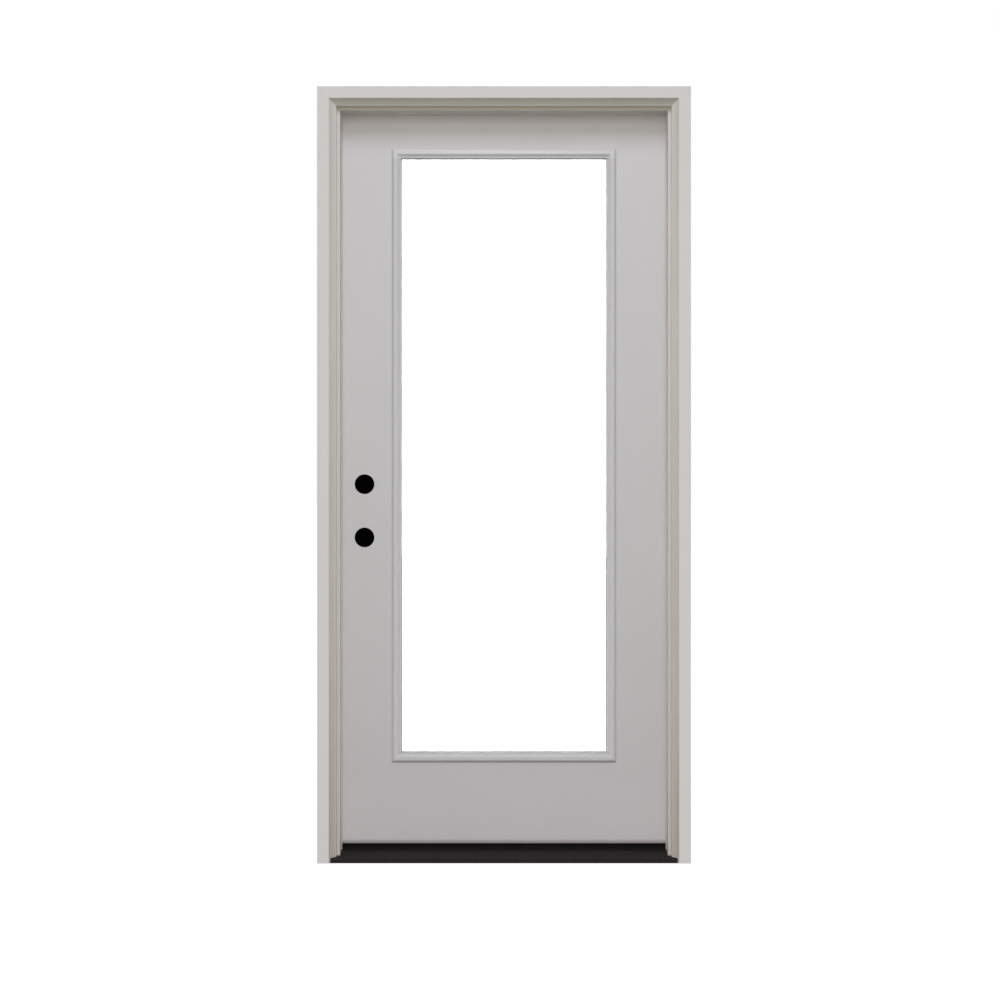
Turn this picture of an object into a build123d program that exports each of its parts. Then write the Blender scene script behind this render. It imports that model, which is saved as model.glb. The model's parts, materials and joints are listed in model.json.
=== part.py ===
from build123d import *
from math import radians, tan
import os

# Prehung fiberglass front door, hinged on the right as seen from outside, opening inwards.
# X runs right as seen from outside, minus Y is the weather side, Z is up, millimetres.
# The origin is on the underside of the sill, midway between the jambs.

os.makedirs("parts", exist_ok=True)

# Jambs
unit_width = 952.5
unit_height = 2070.1
jamb_depth = 115.9
jamb_thickness = 31.75
rabbet_depth = 12.7
stop_depth = 59.45
head_seat = 19.05
kerf_width = 2.8
kerf_depth = 9.5

# Brickmould
mould_width = 50.8
mould_thickness = 31.75
mould_reveal = 9.5
mould_flat = 31.5
mould_quirk = 1.2
mould_bead = 0.8
mould_edge = 17.0
mould_cove_radius = 60.0
mould_lip = 2.5
mould_relief_width = 20.0
mould_relief_depth = 1.5

# Sill and threshold
sill_nose = 27.0
sill_horn = 473.2
nose_height = 14.0
deck_height = 24.5
deck_wall = 2.0
channel_front = 8.0
channel_back = 48.0
channel_floor = 12.0
back_lip_height = 22.0
cap_height = 29.5
cap_play = 0.5
rib_radius = 1.4
rib_count = 9
cap_screw_count = 4
cap_screw_recess = 5.5
cap_recess_depth = 4.0

# Slab
slab_height = 2006.6
slab_thickness = 44.45
door_gap = 5.0
bevel_angle = 3.0
skin = 2.0
stile_width = 40.0
top_rail_height = 40.0
bottom_rail_height = 65.0
lock_block_width = 100.0
lock_block_height = 500.0

# Lock boring
backset = 69.85
cross_bore = 27.0
edge_bore = 12.7
lockset_height = 838.2
bore_spacing = 146.0
face_plate_height = 57.15
face_plate_width = 25.4
face_plate_depth = 3.0
strike_height = 70.0
strike_width = 30.0
strike_depth = 2.0
pocket_height = 26.0
pocket_width = 22.0
pocket_depth = 14.0

# Lite
daylight_width = 564.0
daylight_height = 1630.0
lite_member = 25.5
lite_bottom = 222.9
lite_foot = 1.8
lite_crest = 10.2
lite_crest_inset = 12.2
lite_slope = (9.0, 9.0)
lite_lip = (2.4, 3.5)
lite_cutout_margin = 11.1
glass_margin = 7.6
glass_thickness = 3.0
glass_gap = 13.0
spacer_show = 1.5
lip_wall = 3.2

# Hinges
hinge_size = 101.6
leaf_thickness = 2.7
leaf_corner = 15.9
knuckle_radius = 7.5
knuckle_count = 5
knuckle_play = 0.5
pin_radius = 3.95
pin_play = 0.05
pin_offset = 12.7
pin_head_radius = 6.0
pin_head_height = 3.2
upper_hinge_drop = 177.8
lower_hinge_rise = 279.4

# Seals
seal_thickness = 7.0
seal_proud = 1.5
sweep_base = 2.0
sweep_drop = 4.8
sweep_barb = 8.0

# Places worked out from the sizes above
half_unit = unit_width / 2
stop_x = half_unit - jamb_thickness
rabbet_x = stop_x + rabbet_depth
front_y = -jamb_depth / 2
back_y = jamb_depth / 2
shoulder_y = front_y + stop_depth
head_stop_z = unit_height - jamb_thickness
head_rabbet_z = head_stop_z + rabbet_depth
mould_inner_x = stop_x + mould_reveal
mould_inner_z = head_stop_z + mould_reveal
mould_outer_x = mould_inner_x + mould_width
mould_outer_z = mould_inner_z + mould_width

slab_x = rabbet_x - door_gap
slab_top = head_rabbet_z - door_gap
slab_bottom = slab_top - slab_height
slab_back_y = back_y
slab_front_y = back_y - slab_thickness
slab_mid_y = (slab_front_y + slab_back_y) / 2
core_depth = slab_thickness - 2 * skin
bevel = slab_thickness * tan(radians(bevel_angle))

lite_z = slab_bottom + lite_bottom + lite_member + daylight_height / 2
half_light_x = daylight_width / 2
half_light_z = daylight_height / 2
cutout_x = half_light_x + lite_cutout_margin
cutout_z = half_light_z + lite_cutout_margin
glass_pack = 2 * glass_thickness + glass_gap
outer_glass_y = slab_mid_y - glass_pack / 2
glass_sink = outer_glass_y - slab_front_y

bore_x = -slab_x + backset
bore_heights = [slab_bottom + lockset_height, slab_bottom + lockset_height + bore_spacing]
block_z = sum(bore_heights) / 2

pin_x = (slab_x + rabbet_x) / 2
pin_y = slab_back_y + pin_offset
upper_hinge_z = slab_top - upper_hinge_drop - hinge_size / 2
lower_hinge_z = slab_bottom + lower_hinge_rise + hinge_size / 2
hinge_heights = {
    "upper": upper_hinge_z,
    "middle": (upper_hinge_z + lower_hinge_z) / 2,
    "lower": lower_hinge_z,
}
leaf_end_y = pin_y - hinge_size / 2
knuckle_step = (hinge_size + knuckle_play) / knuckle_count


def save(part, name):
    part.label = name
    export_step(part, f"parts/{name}.step")


# Sill: one section drives the aluminium deck, its substrate and the notch in each jamb stop.
nose_y = front_y - sill_nose
with BuildSketch(Plane.YZ) as sill_section:
    with BuildLine():
        Polyline(
            (nose_y, 0),
            (nose_y, nose_height),
            (channel_front, deck_height),
            (channel_front, channel_floor),
            (channel_back, channel_floor),
            (channel_back, back_lip_height),
            (back_y, back_lip_height),
            (back_y, 0),
            close=True,
        )
    make_face()
    nose_corner = sill_section.vertices().sort_by(Axis.X)[0:2].sort_by(Axis.Y)[-1]
    fillet(nose_corner, radius=4)

with BuildSketch(Plane.YZ) as substrate_section:
    add(sill_section.sketch_local)
    offset(amount=-deck_wall, kind=Kind.INTERSECTION, mode=Mode.REPLACE)
    with Locations(((nose_y + back_y) / 2, deck_wall / 2)):
        Rectangle(back_y - nose_y - 2 * deck_wall, deck_wall)

horn_length = sill_horn - rabbet_x
horn_cut_depth = back_y - front_y
horn_places = [((rabbet_x + horn_length / 2) * side, 0, deck_height / 2) for side in (-1, 1)]

with BuildPart() as sill_substrate:
    extrude(substrate_section.sketch, amount=sill_horn, both=True)
    with Locations(horn_places):
        Box(horn_length, horn_cut_depth, 2 * deck_height, mode=Mode.SUBTRACT)
save(sill_substrate.part, "sill_substrate")

deck_slope = (deck_height - nose_height) / (channel_front - nose_y)
rib_ys = [nose_y + 9 + index * 8.6 for index in range(rib_count)]
rib_length = stop_x - 1
with BuildPart() as sill_deck:
    extrude(sill_section.sketch, amount=sill_horn, both=True)
    extrude(substrate_section.sketch, amount=sill_horn, both=True, mode=Mode.SUBTRACT)
    with Locations(horn_places):
        Box(horn_length, horn_cut_depth, 2 * deck_height, mode=Mode.SUBTRACT)
    with BuildSketch(Plane.YZ):
        with Locations([(y, nose_height + (y - nose_y) * deck_slope - 0.5) for y in rib_ys]):
            Circle(rib_radius)
    extrude(amount=rib_length, both=True)
save(sill_deck.part, "sill_deck")

# Adjustable threshold cap, which the screws sunk in its round recesses lift and lower.
with BuildPart() as threshold_cap:
    with BuildSketch(Plane.YZ):
        with Locations(((channel_front + channel_back) / 2, channel_floor)):
            Rectangle(
                channel_back - channel_front - 2 * cap_play,
                cap_height - channel_floor,
                align=(Align.CENTER, Align.MIN),
            )
    extrude(amount=rabbet_x - cap_play, both=True)
    fillet(threshold_cap.edges().filter_by(Axis.X).group_by(Axis.Z)[-1], radius=4.5)
    cap_top = Plane(origin=(0, (channel_front + channel_back) / 2, cap_height))
    with Locations(cap_top):
        with GridLocations(260, 1, cap_screw_count, 1):
            Hole(radius=cap_screw_recess, depth=cap_recess_depth)
save(threshold_cap.part, "threshold_cap")

# Head jamb: rabbeted section that also cuts its own seat in the tops of the side jambs.
with BuildSketch(Plane.YZ) as head_section:
    with BuildLine():
        Polyline(
            (front_y, unit_height),
            (front_y, head_stop_z),
            (shoulder_y, head_stop_z),
            (shoulder_y, head_rabbet_z),
            (back_y, head_rabbet_z),
            (back_y, unit_height),
            close=True,
        )
    make_face()

with BuildPart() as head_jamb:
    extrude(head_section.sketch, amount=stop_x + head_seat, both=True)
    with Locations((0, shoulder_y - kerf_depth / 2, head_rabbet_z - kerf_width / 2)):
        Box(2 * (stop_x + head_seat), kerf_depth, kerf_width, mode=Mode.SUBTRACT)
save(head_jamb.part, "head_jamb")

# Side jamb blank: rabbet, weatherstrip kerf, seat for the head and a foot coped over the sill.
with BuildPart() as jamb_blank:
    with BuildSketch(Plane.XY):
        with BuildLine():
            Polyline(
                (half_unit, front_y),
                (stop_x, front_y),
                (stop_x, shoulder_y),
                (rabbet_x, shoulder_y),
                (rabbet_x, back_y),
                (half_unit, back_y),
                close=True,
            )
        make_face()
    extrude(amount=unit_height)
    with Locations((rabbet_x - kerf_width / 2, shoulder_y - kerf_depth / 2, unit_height / 2)):
        Box(kerf_width, kerf_depth, unit_height, mode=Mode.SUBTRACT)
    extrude(head_section.sketch, amount=stop_x + head_seat, both=True, mode=Mode.SUBTRACT)
    extrude(sill_section.sketch, amount=rabbet_x, both=True, mode=Mode.SUBTRACT)


def leaf_outline(plane):
    """Plate of one hinge leaf, square towards the pin and round at its far corners."""
    with BuildSketch(plane) as outline:
        with Locations((leaf_end_y, 0)):
            Rectangle(pin_y - leaf_end_y, hinge_size, align=(Align.MIN, Align.CENTER))
        far_corners = outline.vertices().group_by(Axis.X)[0]
        fillet(far_corners, radius=leaf_corner)
    return outline.sketch


def leaf_plane(x, z):
    return Plane(origin=(x, 0, z), x_dir=(0, 1, 0), z_dir=(1, 0, 0))


with BuildPart() as hinge_jamb:
    add(jamb_blank.part)
    for z in hinge_heights.values():
        extrude(leaf_outline(leaf_plane(rabbet_x, z)), amount=leaf_thickness, mode=Mode.SUBTRACT)
save(hinge_jamb.part, "hinge_jamb")

with BuildPart() as latch_jamb:
    mirror(jamb_blank.part, about=Plane.YZ)
    for z in bore_heights:
        with Locations((-rabbet_x, slab_mid_y, z)):
            Box(2 * strike_depth, strike_width, strike_height, mode=Mode.SUBTRACT)
            Box(2 * pocket_depth, pocket_width, pocket_height, mode=Mode.SUBTRACT)
save(latch_jamb.part, "latch_jamb")


def mould_section(plane):
    """Brickmould section: flat, quirk, cove, thin inner edge and relieved back.

    It is drawn from its inner back corner. The relief leaves one land on the jamb and one on the wall.
    """
    flat_start = mould_width - mould_flat
    cove_top = (flat_start - mould_bead, mould_thickness - mould_quirk)
    cove_foot = (mould_lip, mould_edge)
    with BuildSketch(plane) as section:
        with BuildLine():
            Polyline(
                cove_foot,
                (0, mould_edge - 1),
                (0, 0),
                (mould_width, 0),
                (mould_width, mould_thickness),
                (flat_start, mould_thickness),
                (flat_start, mould_thickness - mould_quirk),
                cove_top,
            )
            RadiusArc(cove_foot, cove_top, -mould_cove_radius)
        make_face()
        with Locations((mould_width / 2, 0)):
            Rectangle(mould_relief_width, 2 * mould_relief_depth, mode=Mode.SUBTRACT)
    return section.sketch


def mitre(side):
    """Plane through the corner joint of the brickmould, facing up and inwards."""
    return Plane(origin=(side * mould_outer_x, 0, mould_outer_z), z_dir=(-side, 0, 1))


head_mould_plane = Plane(
    origin=(0, front_y, mould_inner_z), x_dir=(0, 0, 1), z_dir=(1, 0, 0)
)
leg_mould_planes = {
    1: Plane(origin=(mould_inner_x, front_y, 0), x_dir=(1, 0, 0), z_dir=(0, 0, -1)),
    -1: Plane(origin=(-mould_inner_x, front_y, 0), x_dir=(-1, 0, 0), z_dir=(0, 0, 1)),
}

with BuildPart() as head_brickmould:
    extrude(mould_section(head_mould_plane), amount=mould_outer_x, both=True)
    split(bisect_by=mitre(1), keep=Keep.TOP)
    split(bisect_by=mitre(-1), keep=Keep.TOP)
save(head_brickmould.part, "head_brickmould")

for name, side in {"hinge": 1, "latch": -1}.items():
    with BuildPart() as leg_brickmould:
        extrude(mould_section(leg_mould_planes[side]), amount=-side * mould_outer_z)
        split(bisect_by=mitre(side), keep=Keep.BOTTOM)
        extrude(sill_section.sketch, amount=sill_horn, both=True, mode=Mode.SUBTRACT)
    save(leg_brickmould.part, f"{name}_brickmould")


def seal_section(plane):
    """Kerf weatherstrip: rounded bulb beside the stop with a flat barb in the kerf."""
    bulb_width = rabbet_depth + seal_proud - kerf_width - 1
    with BuildSketch(plane) as section:
        with Locations((-seal_proud, 0)):
            Rectangle(bulb_width, seal_thickness, align=(Align.MIN, Align.MIN))
        outer_corners = section.vertices().group_by(Axis.Y)[-1]
        fillet(outer_corners, radius=2.8)
        barb_centre = rabbet_depth - kerf_width / 2
        with Locations((barb_centre, -kerf_depth + 1)):
            Rectangle(kerf_width - 0.6, kerf_depth + 1, align=(Align.CENTER, Align.MIN))
        with Locations((bulb_width - seal_proud - 1, 0)):
            Rectangle(barb_centre - bulb_width + seal_proud + 1.5, 2, align=(Align.MIN, Align.MIN))
    return section.sketch


seal_planes = {
    "hinge": Plane(origin=(stop_x, shoulder_y, 0), x_dir=(1, 0, 0), z_dir=(0, 0, 1)),
    "latch": Plane(origin=(-stop_x, shoulder_y, 0), x_dir=(-1, 0, 0), z_dir=(0, 0, -1)),
}
seal_foot = nose_height + (channel_front - nose_y) * deck_slope
seal_top = head_stop_z - seal_proud
for name, plane in seal_planes.items():
    up = plane.z_dir.Z
    with BuildPart() as side_seal:
        extrude(seal_section(plane), amount=up * seal_top)
        with Locations((0, 0, seal_foot)):
            Box(unit_width, jamb_depth, 2 * seal_foot, align=(Align.CENTER, Align.CENTER, Align.MAX),
                mode=Mode.SUBTRACT)
    save(side_seal.part, f"{name}_weatherstrip")

head_seal_plane = Plane(origin=(0, shoulder_y, head_stop_z), x_dir=(0, 0, 1), z_dir=(-1, 0, 0))
with BuildPart() as head_weatherstrip:
    extrude(seal_section(head_seal_plane), amount=rabbet_x - 0.5, both=True)
save(head_weatherstrip.part, "head_weatherstrip")

# Slab: two moulded skins over wood stiles, composite rails, a lock block and foam.
bevel_plane = Plane(
    origin=(-slab_x, slab_back_y, 0), x_dir=(0, 0, 1), z_dir=(-slab_thickness, -bevel, 0)
)
slab_mid_z = (slab_top + slab_bottom) / 2
bore_places = [(bore_x, 0, z) for z in bore_heights]


def face_plane(y):
    """Upright plane at one depth of the slab, facing inside, with X right and Z up."""
    return Plane(origin=(0, y, 0), x_dir=(-1, 0, 0), z_dir=(0, 1, 0))


for name, y in {"exterior": slab_front_y, "interior": slab_back_y - skin}.items():
    with BuildPart() as slab_skin:
        with BuildSketch(face_plane(y)):
            with Locations((0, slab_mid_z)):
                Rectangle(2 * slab_x, slab_height)
            with Locations((0, lite_z)):
                Rectangle(2 * cutout_x, 2 * cutout_z, mode=Mode.SUBTRACT)
            with Locations([(-bore_x, z) for z in bore_heights]):
                Circle(cross_bore, mode=Mode.SUBTRACT)
        extrude(amount=skin)
        split(bisect_by=bevel_plane, keep=Keep.BOTTOM)
        for z in hinge_heights.values():
            extrude(leaf_outline(leaf_plane(slab_x, z)), amount=-leaf_thickness, mode=Mode.SUBTRACT)
    save(slab_skin.part, f"{name}_skin")

edge_bore_depth = backset + cross_bore
with BuildPart() as lock_stile:
    with Locations((-slab_x, slab_mid_y, slab_mid_z)):
        Box(stile_width, core_depth, slab_height, align=(Align.MIN, Align.CENTER, Align.CENTER))
    split(bisect_by=bevel_plane, keep=Keep.BOTTOM)
    for z in bore_heights:
        with Locations((-slab_x, slab_mid_y, z)):
            Box(2 * face_plate_depth, face_plate_width, face_plate_height, mode=Mode.SUBTRACT)
            Cylinder(edge_bore, 2 * edge_bore_depth, rotation=(0, 90, 0), mode=Mode.SUBTRACT)
save(lock_stile.part, "lock_stile")

with BuildPart() as lock_block:
    with Locations((-slab_x + stile_width, slab_mid_y, block_z)):
        Box(lock_block_width, core_depth, lock_block_height,
            align=(Align.MIN, Align.CENTER, Align.CENTER))
    for z in bore_heights:
        with Locations((bore_x, slab_mid_y, z)):
            Cylinder(cross_bore, slab_thickness, rotation=(90, 0, 0), mode=Mode.SUBTRACT)
        with Locations((bore_x, slab_mid_y, z)):
            Cylinder(edge_bore, backset, rotation=(0, -90, 0),
                     align=(Align.CENTER, Align.CENTER, Align.MIN), mode=Mode.SUBTRACT)
save(lock_block.part, "lock_block")

with BuildPart() as hinge_stile:
    with Locations((slab_x, slab_mid_y, slab_mid_z)):
        Box(stile_width, core_depth, slab_height, align=(Align.MAX, Align.CENTER, Align.CENTER))
    for z in hinge_heights.values():
        extrude(leaf_outline(leaf_plane(slab_x, z)), amount=-leaf_thickness, mode=Mode.SUBTRACT)
save(hinge_stile.part, "hinge_stile")

rail_length = 2 * slab_x - 2 * stile_width
with BuildPart() as top_rail:
    with Locations((0, slab_mid_y, slab_top)):
        Box(rail_length, core_depth, top_rail_height, align=(Align.CENTER, Align.CENTER, Align.MAX))
save(top_rail.part, "top_rail")

sweep_barb_ys = (slab_mid_y - 12, slab_mid_y + 12)
with BuildPart() as bottom_rail:
    with Locations((0, slab_mid_y, slab_bottom)):
        Box(rail_length, core_depth, bottom_rail_height,
            align=(Align.CENTER, Align.CENTER, Align.MIN))
    with Locations([(0, y, slab_bottom) for y in sweep_barb_ys]):
        Box(rail_length, kerf_width, 2 * kerf_depth, mode=Mode.SUBTRACT)
save(bottom_rail.part, "bottom_rail")

with BuildPart() as foam_core:
    core_bottom = slab_bottom + bottom_rail_height
    core_top = slab_top - top_rail_height
    with Locations((0, slab_mid_y, (core_bottom + core_top) / 2)):
        Box(rail_length, core_depth, core_top - core_bottom)
    with Locations((-slab_x + stile_width, slab_mid_y, block_z)):
        Box(lock_block_width, core_depth, lock_block_height,
            align=(Align.MIN, Align.CENTER, Align.CENTER), mode=Mode.SUBTRACT)
    with Locations((0, slab_mid_y, lite_z)):
        Box(2 * cutout_x, slab_thickness, 2 * cutout_z, mode=Mode.SUBTRACT)
save(foam_core.part, "foam_core")

# Lite: a moulded frame each side clamps a sealed double pane. Its face is a quarter round outwards,
# a crest and a plain slope down to the lip on the glass.
with BuildLine() as lite_path:
    Polyline(
        (half_light_x, slab_front_y, lite_z),
        (half_light_x, slab_front_y, lite_z + half_light_z),
        (-half_light_x, slab_front_y, lite_z + half_light_z),
        (-half_light_x, slab_front_y, lite_z - half_light_z),
        (half_light_x, slab_front_y, lite_z - half_light_z),
        close=True,
    )

lite_plane = Plane(origin=(half_light_x, slab_front_y, lite_z), x_dir=(1, 0, 0), z_dir=(0, 0, -1))
with BuildSketch(lite_plane) as lite_section:
    with BuildLine():
        crest = (lite_crest_inset, lite_crest)
        Polyline(
            lite_slope,
            lite_lip,
            (0, lite_lip[1] - 0.4),
            (0, -glass_sink),
            (lip_wall, -glass_sink),
            (lip_wall, -3),
            (lite_cutout_margin - 1.5, -3),
            (lite_cutout_margin - 1.5, 0),
            (lite_member, 0),
            (lite_member, lite_foot),
        )
        TangentArc(crest, (lite_member, lite_foot), tangent=(1, 0))
        TangentArc(crest, lite_slope, tangent=(-1, 0))
    make_face()

with BuildPart() as exterior_lite_frame:
    sweep(lite_section.sketch, path=lite_path.line, transition=Transition.RIGHT)
save(exterior_lite_frame.part, "exterior_lite_frame")

with BuildPart() as interior_lite_frame:
    mirror(exterior_lite_frame.part, about=Plane.XZ.offset(-slab_mid_y))
save(interior_lite_frame.part, "interior_lite_frame")

half_glass_x = half_light_x + glass_margin
half_glass_z = half_light_z + glass_margin
pane_depths = {
    "outer": outer_glass_y + glass_thickness / 2,
    "inner": outer_glass_y + glass_pack - glass_thickness / 2,
}
for name, y in pane_depths.items():
    with BuildPart() as pane:
        with Locations((0, y, lite_z)):
            Box(2 * half_glass_x, glass_thickness, 2 * half_glass_z)
    save(pane.part, f"{name}_glass")

with BuildPart() as glass_spacer:
    with Locations((0, slab_mid_y, lite_z)):
        Box(2 * half_glass_x - 2, glass_gap, 2 * half_glass_z - 2)
        Box(2 * (half_light_x - spacer_show), glass_gap, 2 * (half_light_z - spacer_show),
            mode=Mode.SUBTRACT)
save(glass_spacer.part, "glass_spacer")

# Door sweep under the slab: barbed base with three short fins.
with BuildPart() as door_sweep:
    with BuildSketch(Plane.YZ):
        with Locations((slab_mid_y, slab_bottom)):
            Rectangle(core_depth - 4, sweep_base, align=(Align.CENTER, Align.MAX))
        with Locations([(slab_mid_y + shift, slab_bottom - sweep_base / 2) for shift in (-14, 0, 14)]):
            Rectangle(2, sweep_drop - sweep_base / 2, align=(Align.CENTER, Align.MAX))
    extrude(amount=slab_x - bevel - 2, both=True)
    with BuildSketch(Plane.YZ):
        with Locations([(y, slab_bottom) for y in sweep_barb_ys]):
            Rectangle(kerf_width - 0.6, sweep_barb, align=(Align.CENTER, Align.MIN))
    extrude(amount=rail_length / 2, both=True)
save(door_sweep.part, "door_sweep")


# Butt hinges: five knuckles on a loose pin, three on the frame leaf and two on the door leaf.
def knuckle_places(z, first, reach):
    """Centre heights of every second knuckle, from first, as places on the pin axis."""
    lowest = z - hinge_size / 2 + (knuckle_step - knuckle_play) / 2
    return [(pin_x, pin_y, lowest + index * knuckle_step) for index in range(first, reach, 2)]


def hinge_leaf(z, face_x, thickness, own, other):
    """One leaf: plate, its own knuckles, and room for the other leaf's knuckles."""
    length = knuckle_step - knuckle_play
    with BuildPart() as leaf:
        extrude(leaf_outline(leaf_plane(face_x, z)), amount=thickness)
        with Locations(knuckle_places(z, other, knuckle_count)):
            Cylinder(knuckle_radius + 0.6, length + 2 * knuckle_play, mode=Mode.SUBTRACT)
        with Locations(knuckle_places(z, own, knuckle_count)):
            Cylinder(knuckle_radius, length)
        with Locations((pin_x, pin_y, z)):
            Cylinder(pin_radius + pin_play, 2 * hinge_size, mode=Mode.SUBTRACT)
    return leaf.part


for name, z in hinge_heights.items():
    save(hinge_leaf(z, rabbet_x, leaf_thickness, 0, 1), f"{name}_hinge_frame_leaf")
    save(hinge_leaf(z, slab_x, -leaf_thickness, 1, 0), f"{name}_hinge_door_leaf")
    with BuildPart() as hinge_pin:
        with Locations((pin_x, pin_y, z)):
            Cylinder(pin_radius, hinge_size + 3)
        with Locations((pin_x, pin_y, z + hinge_size / 2)):
            Cylinder(pin_head_radius, pin_head_height, align=(Align.CENTER, Align.CENTER, Align.MIN))
        chamfer(hinge_pin.edges().group_by(Axis.Z)[-1], length=1.2)
    save(hinge_pin.part, f"{name}_hinge_pin")
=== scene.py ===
import bpy
import json
from math import radians, pi
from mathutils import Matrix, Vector


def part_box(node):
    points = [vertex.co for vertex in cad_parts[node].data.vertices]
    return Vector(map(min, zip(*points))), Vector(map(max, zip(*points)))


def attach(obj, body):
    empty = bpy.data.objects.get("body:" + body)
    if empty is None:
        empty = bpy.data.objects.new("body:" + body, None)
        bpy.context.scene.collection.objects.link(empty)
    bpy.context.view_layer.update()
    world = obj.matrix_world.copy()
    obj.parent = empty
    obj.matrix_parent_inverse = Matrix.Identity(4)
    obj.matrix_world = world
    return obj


# front door on its sill, weather side towards -Y, metres, same places as the CAD
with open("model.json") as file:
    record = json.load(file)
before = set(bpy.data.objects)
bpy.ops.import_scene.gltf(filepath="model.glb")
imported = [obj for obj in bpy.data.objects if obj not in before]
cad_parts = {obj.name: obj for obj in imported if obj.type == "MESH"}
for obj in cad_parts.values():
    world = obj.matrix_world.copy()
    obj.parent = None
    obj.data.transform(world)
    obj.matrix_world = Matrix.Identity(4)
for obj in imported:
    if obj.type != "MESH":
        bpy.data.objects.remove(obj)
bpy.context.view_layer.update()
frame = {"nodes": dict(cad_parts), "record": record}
nodes = frame["nodes"]
scene = bpy.context.scene
print("frame loaded:", len(nodes), "nodes")


# places read from the frame
slabLow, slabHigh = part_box("interior_skin")
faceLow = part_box("exterior_skin")[0]
slabMidY = (faceLow.y + slabHigh.y) / 2
outerPaneLow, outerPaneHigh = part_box("outer_glass")
innerPaneLow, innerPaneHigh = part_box("inner_glass")
paneMargin = 0.0076                      # how far each pane runs behind the lite frame
daylightHalfX = outerPaneHigh.x - paneMargin
daylightLowZ = outerPaneLow.z + paneMargin
daylightHighZ = outerPaneHigh.z - paneMargin
doorGap = 0.005                          # slab to jamb
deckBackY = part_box("sill_deck")[1].y
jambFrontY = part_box("hinge_jamb")[0].y
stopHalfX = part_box("hinge_jamb")[0].x
legLow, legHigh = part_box("hinge_brickmould")
headLow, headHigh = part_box("head_brickmould")
mouldFlat = 0.0315                       # how wide the brickmould's flat land is
landHalfX = legHigh.x - mouldFlat
landLowZ = headHigh.z - mouldFlat
squareOn = 0.9                           # a face whose normal has this much of an axis looks along it


# small helpers for working as by hand
def deselectAll():
    bpy.ops.object.select_all(action="DESELECT")


def pickOnly(piece):
    deselectAll()
    piece.select_set(True)
    bpy.context.view_layer.objects.active = piece


def deletePiece(piece):
    pickOnly(piece)
    bpy.ops.object.delete()


def nameNew(name):
    piece = bpy.context.object
    piece.name = name
    piece.data.name = name
    return piece


def addCylinder(name, size, turn=(0, 0, 0), place=(0, 0, 0)):
    deselectAll()
    bpy.ops.mesh.primitive_cylinder_add(vertices=size["sides"], radius=size["radius"], depth=size["height"],
                                        rotation=turn, location=place)
    piece = nameNew(name)
    bpy.ops.object.transform_apply(location=True, rotation=True, scale=True)
    return piece


def addSized(name, addPrimitive, size, place, turn=(0, 0, 0)):
    # a unit cube or plane, with its size and place put into the mesh
    deselectAll()
    addPrimitive(size=1, location=place, rotation=turn)
    piece = nameNew(name)
    piece.scale = size
    bpy.ops.object.transform_apply(location=True, rotation=True, scale=True)
    return piece


def editFaces(piece, wanted):
    # opens edit mode with only the faces that wanted(face) picks
    pickOnly(piece)
    bpy.ops.object.mode_set(mode="EDIT")
    bpy.ops.mesh.select_mode(type="FACE")
    bpy.ops.mesh.select_all(action="DESELECT")
    bpy.ops.object.mode_set(mode="OBJECT")
    for face in piece.data.polygons:
        face.select = wanted(face)
    bpy.ops.object.mode_set(mode="EDIT")


def closeEdit():
    bpy.ops.mesh.select_all(action="SELECT")
    bpy.ops.mesh.normals_make_consistent(inside=False)
    bpy.ops.object.mode_set(mode="OBJECT")


def roundEdges(piece, width, segments=2):
    pickOnly(piece)
    bevel = piece.modifiers.new("roundEdges", "BEVEL")
    bevel.width = width
    bevel.segments = segments
    bevel.limit_method = "ANGLE"
    bevel.angle_limit = radians(35)
    bpy.ops.object.modifier_apply(modifier=bevel.name)
    bpy.ops.object.shade_smooth_by_angle(angle=radians(40))


def copyTo(master, place, turn=(0, 0, 0)):
    # a copy with its own mesh, its place put into the mesh
    pickOnly(master)
    bpy.ops.object.duplicate(linked=False)
    copy = bpy.context.object
    copy.rotation_euler = turn
    copy.location = place
    bpy.ops.object.transform_apply(location=True, rotation=True, scale=True)
    return copy


def joinAs(name, parts):
    deselectAll()
    for part in parts:
        part.select_set(True)
    bpy.context.view_layer.objects.active = parts[0]
    bpy.ops.object.join()
    return nameNew(name)


def finishPiece(piece, body, material):
    piece.data.materials.clear()
    piece.data.materials.append(material)
    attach(piece, body)


# shader groups
def newGroup(name, inputs, output, kind):
    group = bpy.data.node_groups.new(name, "ShaderNodeTree")
    for label, inputKind, value in inputs:
        socket = group.interface.new_socket(name=label, in_out="INPUT", socket_type=inputKind)
        if value is not None:
            socket.default_value = value
    group.interface.new_socket(name=output, in_out="OUTPUT", socket_type=kind)
    return group, group.nodes.new("NodeGroupInput"), group.nodes.new("NodeGroupOutput")


def mathNode(tree, operation, first, second=None):
    node = tree.nodes.new("ShaderNodeMath")
    node.operation = operation
    for index, value in enumerate((first, second)):
        if isinstance(value, (int, float)):
            node.inputs[index].default_value = value
        elif value is not None:
            tree.links.new(value, node.inputs[index])
    return node.outputs[0]


def makeStippleGroup():
    # sprayed primer: fine specks over a slower orange peel
    group, given, out = newGroup(
        "sprayedStipple",
        [("Vector", "NodeSocketVector", None), ("Speck Scale", "NodeSocketFloat", 900.0),
         ("Peel Scale", "NodeSocketFloat", 160.0), ("Peel Share", "NodeSocketFloat", 0.5)],
        "Height", "NodeSocketFloat")
    specks = group.nodes.new("ShaderNodeTexNoise")
    specks.inputs["Detail"].default_value = 3
    peel = group.nodes.new("ShaderNodeTexNoise")
    peel.inputs["Detail"].default_value = 1
    for texture, scale in ((specks, "Speck Scale"), (peel, "Peel Scale")):
        group.links.new(given.outputs["Vector"], texture.inputs["Vector"])
        group.links.new(given.outputs[scale], texture.inputs["Scale"])
    slow = mathNode(group, "MULTIPLY", peel.outputs["Fac"], given.outputs["Peel Share"])
    group.links.new(mathNode(group, "ADD", specks.outputs["Fac"], slow), out.inputs["Height"])
    return group


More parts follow.
